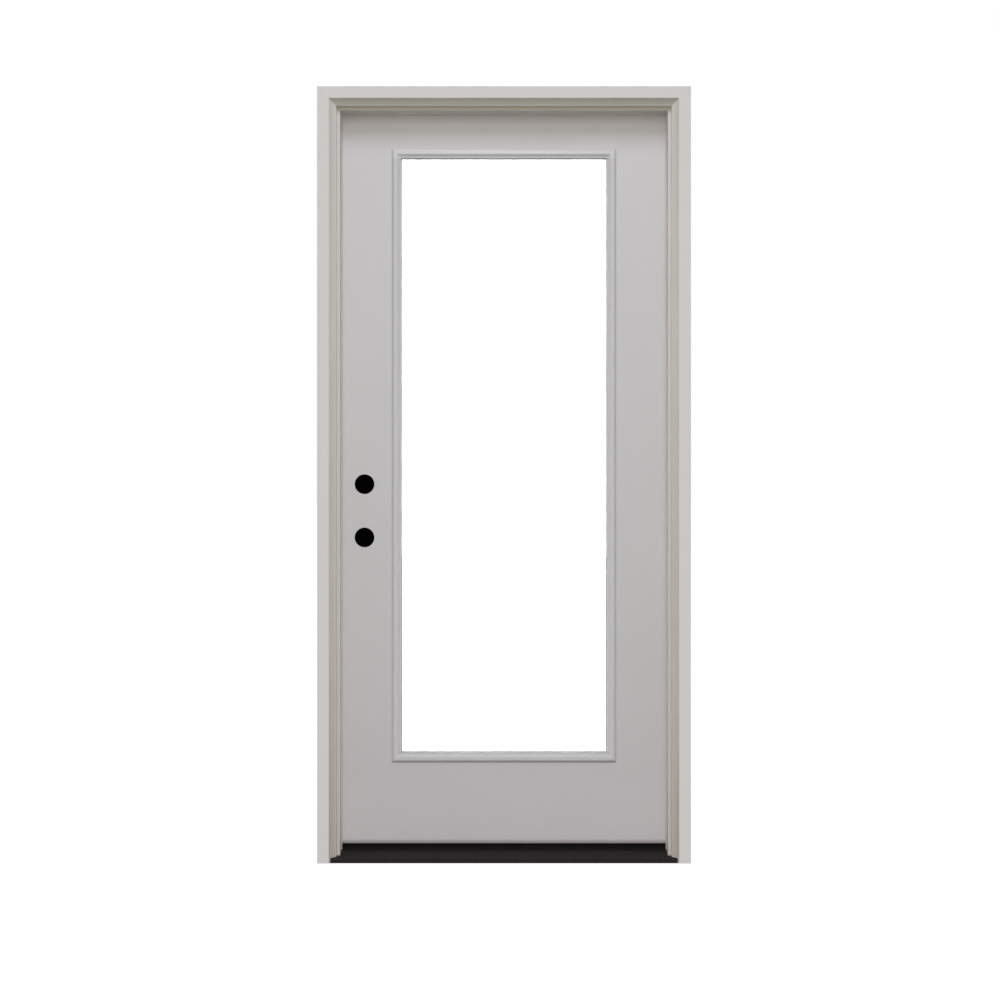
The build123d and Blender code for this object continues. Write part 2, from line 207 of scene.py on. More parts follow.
def makeDriftGroup():
    # slow change of tone over a surface
    group, given, out = newGroup(
        "toneDrift",
        [("Vector", "NodeSocketVector", None), ("Color", "NodeSocketColor", (0.5, 0.5, 0.5, 1)),
         ("Scale", "NodeSocketFloat", 5.0), ("Amount", "NodeSocketFloat", 0.05)],
        "Color", "NodeSocketColor")
    cloud = group.nodes.new("ShaderNodeTexNoise")
    cloud.inputs["Detail"].default_value = 4
    group.links.new(given.outputs["Vector"], cloud.inputs["Vector"])
    group.links.new(given.outputs["Scale"], cloud.inputs["Scale"])
    centred = mathNode(group, "SUBTRACT", cloud.outputs["Fac"], 0.5)
    swing = mathNode(group, "MULTIPLY", centred, given.outputs["Amount"])
    factor = mathNode(group, "ADD", mathNode(group, "MULTIPLY", swing, 2.0), 1.0)
    toned = group.nodes.new("ShaderNodeVectorMath")
    toned.operation = "SCALE"
    group.links.new(given.outputs["Color"], toned.inputs[0])
    group.links.new(factor, toned.inputs["Scale"])
    group.links.new(toned.outputs[0], out.inputs["Color"])
    return group


def makeStreakGroup():
    # long fine streaks: brushing, extrusion lines and wood grain, by how far the vector is stretched
    group, given, out = newGroup(
        "fineStreaks",
        [("Vector", "NodeSocketVector", None), ("Stretch", "NodeSocketVector", (1, 1, 1)),
         ("Scale", "NodeSocketFloat", 400.0), ("Contrast", "NodeSocketFloat", 1.0)],
        "Height", "NodeSocketFloat")
    stretched = group.nodes.new("ShaderNodeVectorMath")
    stretched.operation = "MULTIPLY"
    group.links.new(given.outputs["Vector"], stretched.inputs[0])
    group.links.new(given.outputs["Stretch"], stretched.inputs[1])
    lines = group.nodes.new("ShaderNodeTexNoise")
    lines.inputs["Detail"].default_value = 5
    lines.inputs["Roughness"].default_value = 0.6
    group.links.new(stretched.outputs[0], lines.inputs["Vector"])
    group.links.new(given.outputs["Scale"], lines.inputs["Scale"])
    centred = mathNode(group, "SUBTRACT", lines.outputs["Fac"], 0.5)
    strong = mathNode(group, "MULTIPLY", centred, given.outputs["Contrast"])
    group.links.new(mathNode(group, "ADD", strong, 0.5), out.inputs["Height"])
    return group


stippleGroup = makeStippleGroup()
driftGroup = makeDriftGroup()
streakGroup = makeStreakGroup()


# materials
def newMaterial(name):
    material = bpy.data.materials.new(name)
    material.use_nodes = True
    tree = material.node_tree
    shader = tree.nodes["Principled BSDF"]
    place = tree.nodes.new("ShaderNodeTexCoord").outputs["Object"]
    return material, tree, shader, place


def addGroup(tree, group, place, **values):
    node = tree.nodes.new("ShaderNodeGroup")
    node.node_tree = group
    tree.links.new(place, node.inputs["Vector"])
    for label, value in values.items():
        node.inputs[label.replace("_", " ")].default_value = value
    return node.outputs[0]


def addBump(tree, shader, height, distance):
    bump = tree.nodes.new("ShaderNodeBump")
    bump.inputs["Distance"].default_value = distance
    tree.links.new(height, bump.inputs["Height"])
    tree.links.new(bump.outputs["Normal"], shader.inputs["Normal"])


def spread(tree, value, low, high, toLow, toHigh):
    ranged = tree.nodes.new("ShaderNodeMapRange")
    for label, number in (("From Min", low), ("From Max", high), ("To Min", toLow), ("To Max", toHigh)):
        ranged.inputs[label].default_value = number
    tree.links.new(value, ranged.inputs["Value"])
    return ranged.outputs["Result"]


def fadeMask(tree, place, axis, start, end):
    # 1 at start, fading to 0 at end, which may be the lower one; absX is the distance from the middle
    axes = tree.nodes.new("ShaderNodeSeparateXYZ")
    tree.links.new(place, axes.inputs[0])
    along = mathNode(tree, "ABSOLUTE", axes.outputs["X"]) if axis == "absX" else axes.outputs[axis]
    return spread(tree, along, start, end, 1.0, 0.0)


def tintWhere(tree, place, colour, tint, *fades):
    # multiplies the colour by tint where all the fades are 1
    mask = fadeMask(tree, place, *fades[0])
    for fade in fades[1:]:
        mask = mathNode(tree, "MULTIPLY", mask, fadeMask(tree, place, *fade))
    mix = tree.nodes.new("ShaderNodeMix")
    mix.data_type = "RGBA"
    mix.blend_type = "MULTIPLY"
    tree.links.new(mask, mix.inputs["Factor"])
    tree.links.new(colour, mix.inputs["A"])
    mix.inputs["B"].default_value = (*tint, 1)
    return mix.outputs["Result"]


def tonedColour(tree, place, finish):
    # the finish's colour with its drift and its tints
    colour = addGroup(tree, driftGroup, place, Color=(*finish["colour"], 1),
                      Scale=finish["driftScale"], Amount=finish["drift"])
    for tint in finish.get("tints", ()):
        colour = tintWhere(tree, place, colour, *tint)
    return colour


def roughBy(tree, shader, height, low, high, middle, swing):
    rough = spread(tree, height, low, high, middle - swing, middle + swing)
    tree.links.new(rough, shader.inputs["Roughness"])


def makePrimer(name, finish):
    material, tree, shader, place = newMaterial(name)
    tree.links.new(tonedColour(tree, place, finish), shader.inputs["Base Color"])
    stipple = addGroup(tree, stippleGroup, place, Speck_Scale=finish["speckScale"],
                       Peel_Scale=finish["peelScale"], Peel_Share=finish["peelShare"])
    roughBy(tree, shader, stipple, 0.3, 1.0, finish["roughness"], finish.get("roughSwing", 0.04))
    shader.inputs["Specular IOR Level"].default_value = finish.get("specular", 0.5)
    addBump(tree, shader, stipple, finish["bump"])
    return material


def makeMetal(name, finish):
    material, tree, shader, place = newMaterial(name)
    tree.links.new(tonedColour(tree, place, finish), shader.inputs["Base Color"])
    lines = addGroup(tree, streakGroup, place, Stretch=finish["stretch"],
                     Scale=finish["lineScale"], Contrast=finish.get("lineContrast", 1.6))
    roughBy(tree, shader, lines, 0.2, 0.8, finish["roughness"], finish["roughSwing"])
    shader.inputs["Metallic"].default_value = finish["metallic"]
    shader.inputs["Specular IOR Level"].default_value = finish["specular"]
    addBump(tree, shader, lines, finish["bump"])
    return material


def makeWood(name, finish):
    material, tree, shader, place = newMaterial(name)
    grain = addGroup(tree, streakGroup, place, Stretch=finish["stretch"],
                     Scale=finish["grainScale"], Contrast=finish["grainContrast"])
    rings = addGroup(tree, streakGroup, place, Stretch=finish["stretch"],
                     Scale=finish["ringScale"], Contrast=finish["ringContrast"])
    both = mathNode(tree, "ADD", mathNode(tree, "MULTIPLY", grain, finish["grainShare"]),
                    mathNode(tree, "MULTIPLY", rings, 1 - finish["grainShare"]))
    ramp = tree.nodes.new("ShaderNodeValToRGB")
    ends = zip(ramp.color_ramp.elements, (0.25, 0.75), (finish["darkGrain"], finish["lightGrain"]))
    for element, position, colour in ends:
        element.position = position
        element.color = (*colour, 1)
    tree.links.new(both, ramp.inputs["Fac"])
    tree.links.new(ramp.outputs["Color"], shader.inputs["Base Color"])
    tree.links.new(spread(tree, both, 0.2, 0.8, *finish["roughness"]), shader.inputs["Roughness"])
    addBump(tree, shader, grain, finish["bump"])
    return material


def makeFoam(name, finish):
    material, tree, shader, place = newMaterial(name)
    tree.links.new(tonedColour(tree, place, finish), shader.inputs["Base Color"])
    cells = tree.nodes.new("ShaderNodeTexVoronoi")
    cells.inputs["Scale"].default_value = finish["cellScale"]
    tree.links.new(place, cells.inputs["Vector"])
    rough = spread(tree, cells.outputs["Distance"], 0.0, 0.7, *finish["roughness"])
    tree.links.new(rough, shader.inputs["Roughness"])
    shader.inputs["Specular IOR Level"].default_value = finish["specular"]
    addBump(tree, shader, cells.outputs["Distance"], finish["bump"])
    return material


def mixShaders(tree, factor, first, second):
    mix = tree.nodes.new("ShaderNodeMixShader")
    for output, socket in zip((factor, first, second), mix.inputs):
        tree.links.new(output, socket)
    return mix.outputs["Shader"]


def makeGlass(name, finish):
    material, tree, shader, place = newMaterial(name)
    shader.inputs["Base Color"].default_value = (*finish["colour"], 1)
    shader.inputs["Transmission Weight"].default_value = 1.0
    shader.inputs["IOR"].default_value = finish["ior"]
    # float glass is a little smeared
    smear = tree.nodes.new("ShaderNodeTexNoise")
    smear.inputs["Scale"].default_value = finish["smearScale"]
    tree.links.new(place, smear.inputs["Vector"])
    rough = spread(tree, smear.outputs["Fac"], *finish["smearFrom"], 0.0, finish["smear"])
    tree.links.new(rough, shader.inputs["Roughness"])
    # its shadow is that of a clear sheet
    clear = tree.nodes.new("ShaderNodeBsdfTransparent")
    clear.inputs["Color"].default_value = (*finish["shadowTint"], 1)
    shadowRay = tree.nodes.new("ShaderNodeLightPath").outputs["Is Shadow Ray"]
    surface = mixShaders(tree, shadowRay, shader.outputs["BSDF"], clear.outputs["BSDF"])
    tree.links.new(surface, tree.nodes["Material Output"].inputs["Surface"])
    return material


def even(share):
    # a tint that keeps the hue
    return (share, share, share)


# where the tints lie: an axis, the place where a tint is full and the place where it is gone
upTheFrame = ("Z", landLowZ, 0.0)
downTheFrame = ("Z", 0.0, 1.9)
inLegHollow = ("absX", landHalfX - 0.0005, landHalfX + 0.0005)
inHeadHollow = ("Z", landLowZ - 0.0005, landLowZ + 0.0005)
onLegEdge = ("absX", legLow.x + 0.0003, legLow.x + 0.0007)
onHeadEdge = ("Z", headLow.z + 0.0003, headLow.z + 0.0007)
onJambFront = ("Y", jambFrontY, jambFrontY + 0.002)
onStopFace = ("absX", stopHalfX, stopHalfX + 0.0007)
onSlabFront = ("Y", faceLow.y + 0.004, faceLow.y + 0.012)
downTheSlab = ("Z", slabLow.z, slabHigh.z)
atSlabFoot = ("Z", slabLow.z, slabLow.z + 0.20)
atSlabEdge = ("Z", slabLow.z, slabLow.z + 0.012)
underHead = ("Z", slabHigh.z, slabHigh.z - 0.10)
# the inner slope of the lite frame's foot member, up to its mitres
onLiteFoot = (("Z", daylightLowZ, daylightLowZ + 0.002), ("Z", daylightLowZ - 0.010, daylightLowZ - 0.014),
              ("absX", daylightHalfX, daylightHalfX + 0.010))
besidePaneFoot = ("Z", daylightLowZ, daylightLowZ - 0.008)
onLiteHead = ("Z", daylightHighZ, daylightHighZ - 0.002)
atDeckBack = ("Y", deckBackY - 0.050, deckBackY - 0.095)

mouldFinish = {"colour": (0.621, 0.600, 0.586), "roughness": 0.52, "driftScale": 6, "drift": 0.012,
               "speckScale": 950, "peelScale": 170, "peelShare": 0.6, "bump": 0.00006,
               # painted shade: darker towards the top, against the lamps' stronger light there
               "tints": ((even(0.925), upTheFrame),
                         ((0.978, 0.980, 0.937), inLegHollow),               # painted shade in its hollow, much deeper towards the foot
                         ((0.734, 0.680, 0.630), inLegHollow, downTheFrame),
                         ((1.12, 1.14, 1.14), onLegEdge))}                   # painted highlight along its inner edge
# the head brickmould has the same painted shade towards the top
headMouldFinish = {**mouldFinish, "tints": ((even(0.925), upTheFrame),
                                            # painted shade in its hollow
                                            ((0.81, 0.794, 0.684), inHeadHollow),
                                            # painted highlight along its lowest edge
                                            (even(1.22), onHeadEdge))}
jambFinish = {"colour": (0.560, 0.530, 0.500), "roughness": 0.56, "driftScale": 5, "drift": 0.02,
              "speckScale": 800, "peelScale": 140, "peelShare": 0.8, "bump": 0.00009,
              # painted shade on the jamb's front edge, deeper towards the foot
              "tints": (((0.95, 0.95, 0.98), onJambFront),
                        ((0.88, 0.86, 0.82), onJambFront, downTheFrame),
                        (even(1.2), onStopFace))}                            # painted light on the stop face
# painted warm shade on the head jamb's front edge
headJambFinish = {**jambFinish, "tints": (((0.93, 0.87, 0.74), onJambFront),)}
slabFinish = {"colour": (0.532, 0.521, 0.523), "roughness": 0.48, "driftScale": 3, "drift": 0.03,
              "speckScale": 1100, "peelScale": 120, "peelShare": 0.7, "bump": 0.00006,
              "tints": (((0.86, 0.835, 0.84), downTheSlab),                  # painted shade, darker towards its foot
                        # painted light over its lowest 200 mm, against the shade near the sill
                        (even(1.09), atSlabFoot),
                        ((0.33, 0.31, 0.30), atSlabEdge),                    # painted shade along its lowest edge
                        ((1.10, 1.03, 0.92), underHead, onSlabFront))}       # painted warm reflected light under the head
liteFinish = {"colour": (0.520, 0.513, 0.515), "roughness": 0.42, "driftScale": 8, "drift": 0.015,
              "speckScale": 1400, "peelScale": 260, "peelShare": 0.3, "bump": 0.00004,
              "tints": (((0.87, 0.865, 0.875), *onLiteFoot),                 # painted shade on the foot member's inner slope, deeper beside the pane
                        ((0.84, 0.84, 0.85), *onLiteFoot, besidePaneFoot),
                        # painted light on the head member
                        (even(1.10), onLiteHead))}
deckFinish = {"colour": (0.0140, 0.0121, 0.0131), "metallic": 0.0, "specular": 0.08, "roughness": 0.6,
              "roughSwing": 0.06, "driftScale": 14, "drift": 0.15, "stretch": (0.02, 1, 1),
              "lineScale": 1500, "bump": 0.00004, "tints": (((0.35, 0.32, 0.32), atDeckBack),)}      # painted shade at the back of the deck, by and under the slab
substrateFinish = {"colour": (0.028, 0.026, 0.025), "roughness": 0.85, "driftScale": 40, "drift": 0.2,
                   "speckScale": 1200, "peelScale": 350, "peelShare": 1.0, "bump": 0.00025}
capFinish = {"colour": (0.005, 0.0045, 0.0045), "metallic": 0.0, "specular": 0.06, "roughness": 0.65,
             "roughSwing": 0.06, "driftScale": 12, "drift": 0.12, "stretch": (0.03, 1, 1),
             "lineScale": 1300, "bump": 0.00006}
sealFinish = {"colour": (0.72, 0.69, 0.65), "roughness": 0.72, "driftScale": 30, "drift": 0.06,
              "speckScale": 1800, "peelScale": 500, "peelShare": 0.5, "bump": 0.00005}
sweepFinish = {**sealFinish, "colour": (0.005, 0.0045, 0.0045), "specular": 0.12, "roughness": 0.85,
               "drift": 0.15}
beadFinish = {**sealFinish, "colour": (0.10, 0.098, 0.098), "roughness": 0.70, "driftScale": 20,
              "drift": 0.10, "bump": 0.00003}
spacerFinish = {"colour": (0.36, 0.36, 0.365), "metallic": 0.9, "specular": 0.5, "roughness": 0.38,
                "roughSwing": 0.05, "driftScale": 20, "drift": 0.05, "stretch": (1, 1, 0.05),
                "lineScale": 1500, "bump": 0.00003}
hingeFinish = {"colour": (0.34, 0.331, 0.318), "metallic": 1.0, "specular": 0.5, "roughness": 0.3,
               "roughSwing": 0.09, "driftScale": 30, "drift": 0.05, "stretch": (1, 1, 0.03),
               "lineScale": 2600, "bump": 0.00003}
screwFinish = {"colour": (0.27, 0.264, 0.254), "metallic": 1.0, "specular": 0.5, "roughness": 0.34,
               "roughSwing": 0.08, "driftScale": 60, "drift": 0.08, "stretch": (1, 1, 1),
               "lineScale": 2400, "bump": 0.00002}
# the roughness of wood and foam runs from the first value in the hollows to the second on top
stileFinish = {"lightGrain": (0.62, 0.44, 0.25), "darkGrain": (0.34, 0.20, 0.10), "stretch": (1, 1, 0.04),
               "grainScale": 700, "grainContrast": 2.2, "grainShare": 0.45, "ringScale": 130,
               "ringContrast": 2.6, "roughness": (0.72, 0.6), "bump": 0.00012}
railFinish = {**stileFinish, "lightGrain": (0.58, 0.43, 0.27), "darkGrain": (0.36, 0.24, 0.13),
              "stretch": (0.04, 1, 1), "ringScale": 150}
coreFinish = {"colour": (0.72, 0.62, 0.38), "specular": 0.3, "roughness": (0.95, 0.85), "driftScale": 20,
              "drift": 0.08, "cellScale": 900, "bump": 0.0003}
# near black and without sheen: painted shade for the lock bores
borePlugFinish = {**coreFinish, "colour": (0.0012, 0.0008, 0.0010), "specular": 0.0, "cellScale": 700,
                  "bump": 0.0004}
paneFinish = {"colour": (0.996, 1.0, 0.998), "ior": 1.45, "smearScale": 3, "smearFrom": (0.45, 0.8),
              "smear": 0.015, "shadowTint": (0.96, 0.97, 0.965)}

finishes = {
    "mould_primer": makePrimer("smoothMouldPrimer", mouldFinish),
    "jamb_primer": makePrimer("satinJambPrimer", jambFinish),
    "slab_primer": makePrimer("smoothSlabPrimer", slabFinish),
    "lite_plastic": makePrimer("mouldedLitePlastic", liteFinish),
    "bronze_aluminium": makeMetal("darkBronzeDeck", deckFinish),
    "substrate": makePrimer("blackSillComposite", substrateFinish),
    "cap": makeMetal("darkCapComposite", capFinish),
    "seal": makePrimer("paleSealRubber", sealFinish),
    "sweep": makePrimer("blackSweepRubber", sweepFinish),
    "spacer": makeMetal("dullSpacerBar", spacerFinish),
    "hinge_steel": makeMetal("satinHingeSteel", hingeFinish),
    "wood": makeWood("rawStileWood", stileFinish),
    "foam": makeFoam("creamCoreFoam", coreFinish),
    "glass": makeGlass("clearPaneGlass", paneFinish),
}
railWood = makeWood("rawRailWood", railFinish)
ownMaterials = {"top_rail": railWood, "bottom_rail": railWood,
                "head_brickmould": makePrimer("headMouldPrimer", headMouldFinish),
                "head_jamb": makePrimer("headJambPrimer", headJambFinish)}
screwSteel = makeMetal("zincScrewSteel", screwFinish)
borePlugFoam = makeFoam("blackPlugFoam", borePlugFinish)
beadRubber = makePrimer("greyBeadRubber", beadFinish)

slotOfNode = {row["node"]: row["material_slot"] for row in frame["record"]["subparts"]}
for name, node in nodes.items():
    material = ownMaterials.get(name) or finishes[slotOfNode[name]]
    node.data.materials.clear()
    node.data.materials.append(material)
print("materials set:", len(bpy.data.materials))


# eased edges on the CAD pieces
easedEdges = {
    "brickmould": 0.0004, "jamb": 0.0006, "skin": 0.0005, "lite_frame": 0.0003,
    "stile": 0.0004, "rail": 0.0004, "leaf": 0.0003, "cap": 0.0003,
}
for name, node in nodes.items():
    width = next((w for part, w in easedEdges.items() if part in name), None)
    if width is None:
        continue
    weld = node.modifiers.new("mergeSeams", "WELD")
    weld.merge_threshold = 0.00001
    bevel = node.modifiers.new("easeEdges", "BEVEL")
    bevel.width = width
    bevel.segments = 2
    bevel.limit_method = "ANGLE"
    bevel.angle_limit = radians(40)
    shading = node.modifiers.new("evenNormals", "WEIGHTED_NORMAL")
    shading.weight = 80
    shading.mode = "FACE_AREA"
print("edges eased")


# screws
# rim and slope are shares of the radius, flatRise is one of the crown
screwHead = {"sides": 28, "rim": 0.18, "slope": 0.35, "flatRise": 0.3, "recessFoot": (0.55, 0.8, 1),
             "round": 0.00008}
hingeScrew = {
    **screwHead, "radius": 0.0046, "height": 0.0009, "proud": 0.00025, "crown": 0.00012,
    "crossLength": 0.0050, "crossWidth": 0.0011, "crossDepth": 0.0007,
    "rows": ((0.0110, 0.0340), (0.0240, 0.0140)),      # from the leaf's far end, from its middle height
}
capScrew = {
    **screwHead, "radius": 0.0048, "height": 0.0024, "crown": 0.0003,
    "crossLength": 0.0056, "crossWidth": 0.0013, "crossDepth": 0.0016,
    "count": 4, "spacing": 0.260, "sunk": 0.0040, "firstTurn": 0.4,
}


def makeScrewHead(name, size):
    # flat head facing up, its underside on z 0, with a tapered cross recess
    top, radius, crown = size["height"], size["radius"], size["crown"]
    head = addCylinder(name, size, place=(0, 0, top / 2))
    editFaces(head, lambda face: face.normal.z > squareOn)
    bpy.ops.mesh.inset(thickness=radius * size["rim"], depth=crown)
    bpy.ops.mesh.inset(thickness=radius * size["slope"], depth=crown * size["flatRise"])
    closeEdit()
    crossSize = (size["crossLength"], size["crossWidth"], 2 * size["crossDepth"])
    cross = addSized(name + "Cross", bpy.ops.mesh.primitive_cube_add, crossSize,
                     (0, 0, top + crown * (1 + size["flatRise"])))
    editFaces(cross, lambda face: face.normal.z < -squareOn)
    bpy.ops.transform.resize(value=size["recessFoot"])
    bpy.ops.mesh.select_all(action="SELECT")
    bpy.ops.mesh.duplicate()
    bpy.ops.transform.rotate(value=pi / 2, orient_axis="Z", center_override=(0, 0, top))
    closeEdit()
    pickOnly(head)
    cut = head.modifiers.new("crossRecess", "BOOLEAN")
    cut.object = cross
    cut.operation = "DIFFERENCE"
    cut.use_self = True
    bpy.ops.object.modifier_apply(modifier=cut.name)
    deletePiece(cross)
    roundEdges(head, size["round"])
    return head


def makeHingeScrews():
    master = makeScrewHead("hingeScrewMaster", hingeScrew)
    for height in ("upper", "middle", "lower"):
        for body in ("frame", "door"):
            low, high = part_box(f"{height}_hinge_{body}_leaf")
            midZ = (low.z + high.z) / 2
            onFrame = body == "frame"
            faceX = slabHigh.x + doorGap if onFrame else slabHigh.x
            out = -1 if onFrame else 1                   # the way the head looks
            footX = faceX + out * (hingeScrew["proud"] - hingeScrew["height"])
            copies = [
                copyTo(master, (footX, low.y + along, midZ + up * drop), (0, out * pi / 2, 0))
                for along, drop in hingeScrew["rows"] for up in (1, -1)
            ]
            finishPiece(joinAs(f"{height}_hinge_{body}_screws", copies), body, screwSteel)
    deletePiece(master)


def makeLiftScrews():
    low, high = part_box("threshold_cap")
    master = makeScrewHead("liftScrewMaster", capScrew)
    step, turn = capScrew["spacing"], capScrew["firstTurn"]
    firstX = -step * (capScrew["count"] - 1) / 2
    midY, footZ = (low.y + high.y) / 2, high.z - capScrew["sunk"]
    copies = [copyTo(master, (firstX + index * step, midY, footZ), (0, 0, turn + index))
              for index in range(capScrew["count"])]
    finishPiece(joinAs("threshold_lifting_screws", copies), "frame", screwSteel)
    deletePiece(master)


makeHingeScrews()
makeLiftScrews()
print("screws placed")


# nail heads that hold the side jambs to the head and to the sill
frameNail = {"sides": 24, "radius": 0.0036, "height": 0.0012, "proud": 0.0004, "rim": 0.3, "slope": 0.2,
             "cup": 0.00025, "round": 0.0002,            # rim and slope are shares of the radius
             "share": (0.14, 0.5, 0.86), "fromTop": 0.0095}      # share is along the jamb's depth


def makeNailHeads():
    nail = addCylinder("frameNailMaster", frameNail, turn=(0, pi / 2, 0))
    # both ends get a shallow cup, so the same head serves either side
    editFaces(nail, lambda face: abs(face.normal.x) > squareOn)
    bpy.ops.mesh.inset(thickness=frameNail["radius"] * frameNail["rim"], use_individual=True)
    bpy.ops.mesh.inset(thickness=frameNail["radius"] * frameNail["slope"], depth=-frameNail["cup"],
                       use_individual=True)
    closeEdit()
    roundEdges(nail, frameNail["round"])
    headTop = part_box("head_jamb")[1].z
    sillLow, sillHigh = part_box("sill_substrate")
    heights = (headTop - frameNail["fromTop"], (sillLow.z + sillHigh.z) / 2)
    heads = []
    for name, out in (("latch_jamb", -1), ("hinge_jamb", 1)):
        low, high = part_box(name)
        faceX = high.x if out > 0 else low.x
        x = faceX + out * (frameNail["proud"] - frameNail["height"] / 2)
        heads += [copyTo(nail, (x, low.y + share * (high.y - low.y), z))
                  for share in frameNail["share"] for z in heights]
    deletePiece(nail)
    finishPiece(joinAs("frame_nail_heads", heads), "frame", screwSteel)


makeNailHeads()
print("nail heads placed")


# screw plugs on the inside lite frame
litePlug = {"sides": 24, "radius": 0.0037, "height": 0.0040, "round": 0.00006, "proud": 0.00025,
            # the width and rise of each ring of its face, from the rim inwards
            "rings": ((0.0005, 0), (0.0001, -0.0004), (0.00035, 0), (0.0001, 0.0004), (0.0009, 0.0003)),
            "inset": 0.0136, "acrossCount": 3, "upCount": 6, "endMargin": 0.060}


def makeLitePlugs():
    plug = addCylinder("litePlugMaster", litePlug, turn=(-pi / 2, 0, 0))
    editFaces(plug, lambda face: face.normal.y > squareOn)
    # a rim, a groove all round and a low dome
    for width, rise in litePlug["rings"]:
        bpy.ops.mesh.inset(thickness=width, depth=rise)
    closeEdit()
    roundEdges(plug, litePlug["round"])
    low, high, margin = innerPaneLow, innerPaneHigh, litePlug["endMargin"]
    halfX = high.x - paneMargin + litePlug["inset"]
    lowZ = low.z + paneMargin - litePlug["inset"]
    highZ = high.z - paneMargin + litePlug["inset"]
    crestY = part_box("interior_lite_frame")[1].y
    faceY = crestY + litePlug["proud"] - litePlug["height"] / 2
    across = [(-1 + 2 * index / (litePlug["acrossCount"] - 1)) * (halfX - 2 * margin)
              for index in range(litePlug["acrossCount"])]
    upStep = (highZ - lowZ - 2 * margin) / (litePlug["upCount"] - 1)
    ups = [lowZ + margin + index * upStep for index in range(litePlug["upCount"])]
    places = [(x, faceY, z) for x in across for z in (lowZ, highZ)]
    places += [(x, faceY, z) for x in (-halfX, halfX) for z in ups]
    plugs = joinAs("inside_lite_screw_plugs", [copyTo(plug, place) for place in places])
    deletePiece(plug)
    finishPiece(plugs, "door", finishes["lite_plastic"])


makeLitePlugs()
print("lite plugs placed")


# dark glazing beads round the daylight edges
glazingBead = {"wide": 0.0013, "tucked": 0.0001, "depth": 0.0009, "round": 0.0003}


def makeBeadRing(name, low, high, faceY, out):
    # thin ring on one pane, its rim tucked behind the lite frame's edge
    halfX = high.x - paneMargin + glazingBead["tucked"]
    bottom, top = low.z + paneMargin, high.z - paneMargin
    ring = addSized(name, bpy.ops.mesh.primitive_plane_add,
                    (2 * halfX, top - bottom + 2 * glazingBead["tucked"], 1),
                    (0, faceY, (bottom + top) / 2), turn=(pi / 2, 0, 0))
    editFaces(ring, lambda face: True)
    bpy.ops.mesh.inset(thickness=glazingBead["wide"])
    bpy.ops.mesh.delete(type="FACE")
    bpy.ops.mesh.select_all(action="SELECT")
    bpy.ops.mesh.extrude_region_move(TRANSFORM_OT_translate={"value": (0, out * glazingBead["depth"], 0)})
    closeEdit()
    roundEdges(ring, glazingBead["round"])
    finishPiece(ring, "door", beadRubber)


makeBeadRing("outer_glazing_bead", outerPaneLow, outerPaneHigh, outerPaneLow.y, -1)
makeBeadRing("inner_glazing_bead", innerPaneLow, innerPaneHigh, innerPaneHigh.y, 1)
print("glazing beads placed")


# weatherstrip bulbs as the closed slab squeezes them
squeezedBulb = {"sink": 0.0012, "clear": 0.0003, "inset": 0.0006, "round": 0.0016, "segments": 4}


def makeSqueezedBulbs():
    bulbs = []
    inset = squeezedBulb["inset"]
    for name in ("latch_weatherstrip", "hinge_weatherstrip", "head_weatherstrip"):
        low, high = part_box(name)
        start, end = high.y - squeezedBulb["sink"], faceLow.y - squeezedBulb["clear"]
        if name == "head_weatherstrip":
            left, right = -slabHigh.x, slabHigh.x
            bottom, top = low.z + inset, slabHigh.z - inset
        else:
            side = -1 if high.x < 0 else 1
            inner = min(abs(low.x), abs(high.x)) + inset
            left, right = sorted((side * inner, side * (slabHigh.x - inset)))
            bottom, top = low.z, high.z
        bulb = addSized("squeezedBulb", bpy.ops.mesh.primitive_cube_add,
                        (right - left, end - start, top - bottom),
                        ((left + right) / 2, (start + end) / 2, (bottom + top) / 2))
        roundEdges(bulb, squeezedBulb["round"], squeezedBulb["segments"])
        bulbs.append(bulb)
    finishPiece(joinAs("squeezed_weatherstrip_bulbs", bulbs), "frame", finishes["seal"])


makeSqueezedBulbs()
print("weatherstrip bulbs placed")


# soft lips of the door sweep, which wipe the threshold cap
sweepLip = {"thick": 0.0014, "root": 0.0030, "clear": 0.0003, "kick": 0.0022, "round": 0.0002,
            # each stage's shares of the drop, the kick and the thickness above it
            "stages": ((0.35, 0.1, 0.95), (0.30, 0.3, 0.85), (0.35, 0.6, 0.6)),
            "shorter": 0.0045, "ys": (-0.0140, 0.0)}        # ys are from the slab's middle


def makeSweepLips():
    top = slabLow.z - sweepLip["root"]
    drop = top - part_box("threshold_cap")[1].z - sweepLip["clear"]
    lips = []
    for y in sweepLip["ys"]:
        lip = addSized("sweepLip", bpy.ops.mesh.primitive_plane_add,
                       (2 * (slabHigh.x - sweepLip["shorter"]), sweepLip["thick"], 1), (0, slabMidY + y, top))
        editFaces(lip, lambda face: True)
        for share, kick, thin in sweepLip["stages"]:
            bpy.ops.mesh.extrude_region_move(
                TRANSFORM_OT_translate={"value": (0, -kick * sweepLip["kick"], -share * drop)})
            bpy.ops.transform.resize(value=(1, thin, 1))
        closeEdit()
        roundEdges(lip, sweepLip["round"])
        lips.append(lip)
    finishPiece(joinAs("door_sweep_lips", lips), "door", finishes["sweep"])


makeSweepLips()
print("sweep lips placed")


# foam plugs in the lock bores, near black and without sheen: a painted shade that makes the bores read as
# dark holes
borePlug = {"sides": 56, "radius": 0.02695, "height": 0.010, "rim": 0.0022, "dish": 0.0012, "round": 0.0006,
            "fromEdge": 0.06985, "forward": 0.009, "aboveFoot": (0.8382, 0.9842)}    # above the slab's foot


